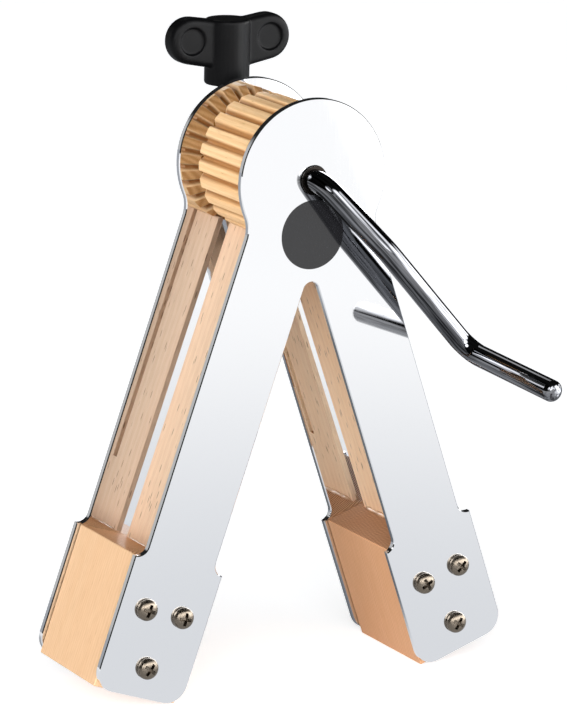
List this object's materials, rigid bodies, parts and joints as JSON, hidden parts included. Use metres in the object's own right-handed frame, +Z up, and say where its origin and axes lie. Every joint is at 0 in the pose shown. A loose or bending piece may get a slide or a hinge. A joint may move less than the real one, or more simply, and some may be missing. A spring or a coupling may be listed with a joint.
{
  "type": "orchestral ratchet",
  "caption": "Orchestral ratchet with polished steel A-shaped plates, a toothed wooden wheel, two wooden tongues, a bent crank and a rod clamp.",
  "frame": {"origin": "on the floor under the middle of the bounding box, with the ratchet standing on its two feet", "axes": "+Z up; +Y from the crank's side towards the clamp's side, along the axle; +X to the right when the crank faces the viewer"},
  "size_m": [0.2008, 0.1726, 0.2841],
  "materials": {
    "polished_steel": "mirror polished stainless sheet",
    "beech": "clear satin lacquer over pale beech",
    "beech_tongue": "plain sanded beech with dark flecks",
    "chrome": "bright chrome plate on steel bar",
    "nickel": "bright nickel plate",
    "bronze": "turned sintered bronze",
    "zinc_casting": "satin plated casting",
    "black_plastic": "satin moulded plastic"
  },
  "bodies": {
    "frame": {"front_plate": "polished_steel", "rear_plate": "polished_steel", "left_block": "beech", "right_block": "beech", "left_tongue": "beech_tongue", "right_tongue": "beech_tongue", "front_bush": "bronze", "rear_bush": "bronze", "front_left_screw_outer": "nickel", "front_left_screw_inner": "nickel", "front_left_screw_lower": "nickel", "front_right_screw_outer": "nickel", "front_right_screw_inner": "nickel", "front_right_screw_lower": "nickel", "rear_left_screw_outer": "nickel", "rear_left_screw_inner": "nickel", "rear_left_screw_lower": "nickel", "rear_right_screw_outer": "nickel", "rear_right_screw_inner": "nickel", "rear_right_screw_lower": "nickel", "rod_clamp": "zinc_casting", "clamp_screw_left": "nickel", "clamp_screw_right": "nickel"},
    "crank": {"crank": "chrome", "ratchet_wheel": "beech", "wheel_pin": "nickel"},
    "stud": {"clamp_stud": "nickel"},
    "handle": {"wing_handle": "black_plastic"}
  },
  "joints": [
    {"name": "crank_turn", "type": "hinge", "parent": "frame", "child": "crank", "pos_m": [0, 0.02557, 0.22505], "axis": [0, 1, 0], "continuous": true, "deforming": ["left_tongue", "right_tongue"]},
    {"name": "wing_lift", "type": "slide", "parent": "frame", "child": "stud", "axis": [0, 0, 1], "range_m": [-0.0025, 0.00375]},
    {"name": "wing_turn", "type": "hinge", "parent": "stud", "child": "handle", "pos_m": [0, 0.07507, 0.27], "axis": [0, 0, 1], "range_deg": [-720, 1080]}
  ],
  "couplings": [
    {"joint": "wing_lift", "follows": "wing_turn", "m_per_rad": 0.0001989}
  ]
}
